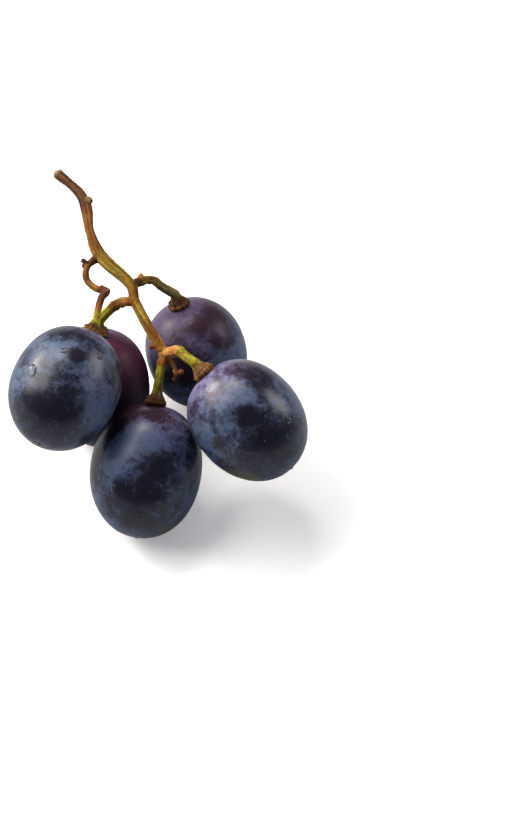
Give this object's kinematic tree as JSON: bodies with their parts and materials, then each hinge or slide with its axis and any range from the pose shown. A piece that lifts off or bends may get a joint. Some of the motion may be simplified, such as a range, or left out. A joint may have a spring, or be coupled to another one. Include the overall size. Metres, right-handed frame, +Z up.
{
  "type": "bunch of grapes",
  "caption": "Small bunch of large oval dark blue grapes with waxy bloom, on a branching brown and green stem with a cut stalk, lying down.",
  "frame": {"origin": "on the surface that the bunch lies on, under the middle of its bounding box", "axes": "+Z up from the surface, +Y the way that the cut stalk points, +X to the right of it when seen from the grapes' side"},
  "size_m": [0.0566, 0.0678, 0.0391],
  "materials": {
    "grape_skin": "blue-black skin under a waxy slate-blue bloom that is rubbed off in patches, satin gloss",
    "stem_bark": "brown ridged bark on the cut stalk, olive green on the branches, brown corky caps"
  },
  "bodies": {
    "root": {"stem": "stem_bark", "grape_back_left": "grape_skin", "grape_front_middle": "grape_skin", "grape_back_right": "grape_skin", "grape_right": "grape_skin", "grape_front_left": "grape_skin"}
  },
  "joints": []
}
